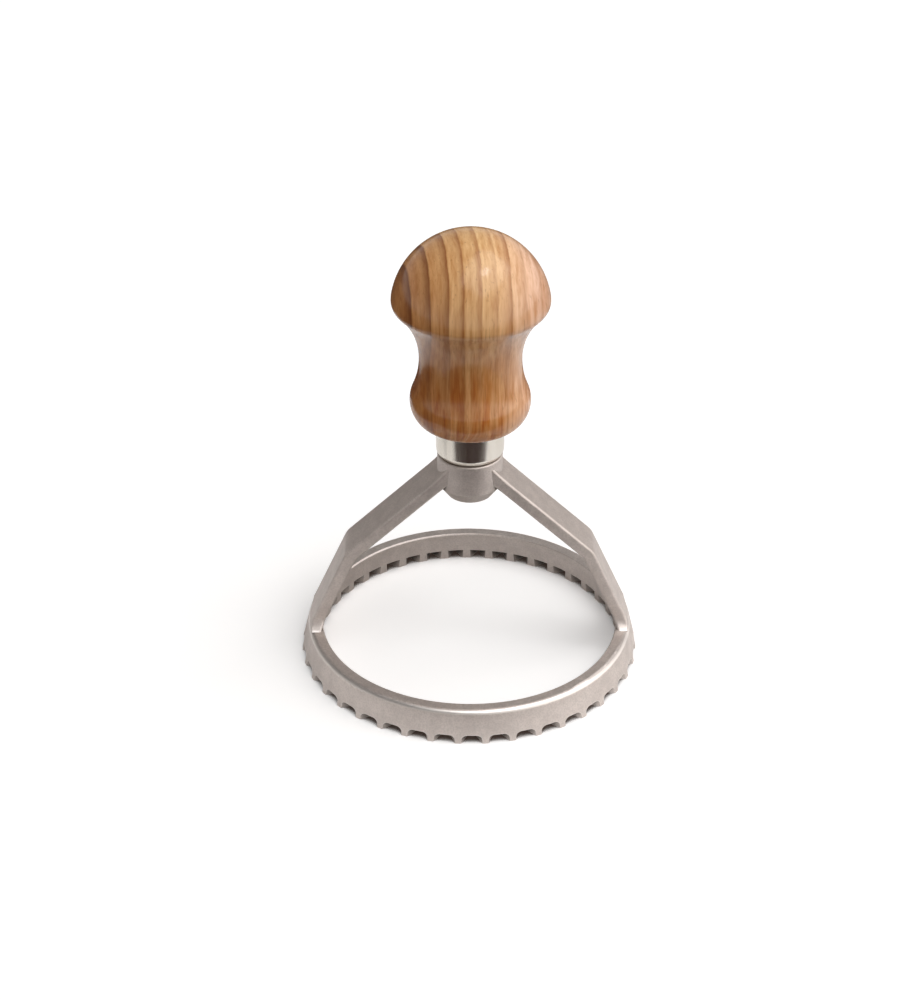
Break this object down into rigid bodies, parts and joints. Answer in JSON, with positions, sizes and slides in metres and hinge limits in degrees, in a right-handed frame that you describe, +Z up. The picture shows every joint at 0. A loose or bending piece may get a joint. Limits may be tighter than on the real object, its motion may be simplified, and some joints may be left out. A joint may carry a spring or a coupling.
{
  "type": "ravioli cutter",
  "caption": "Round ravioli stamp: a conical cast aluminium ring with a zigzag cutting rim, carried by bent arms under a ferrule and a turned, lacquered wooden knob handle.",
  "frame": {"origin": "centre of the cutting rim, on the surface that the stamp stands on", "axes": "+Z up along the handle, X through the two arms, -Y towards the viewer of the picture"},
  "size_m": [0.0778, 0.0778, 0.1045],
  "materials": {
    "cast_aluminium": "satin, vibratory finished",
    "polished_ferrule": "polished",
    "lacquered_beech": "clear gloss lacquer",
    "stud_steel": "plain"
  },
  "bodies": {
    "root": {"cutter_head": "cast_aluminium", "ferrule": "polished_ferrule", "handle": "lacquered_beech", "handle_stud": "stud_steel"}
  },
  "joints": []
}
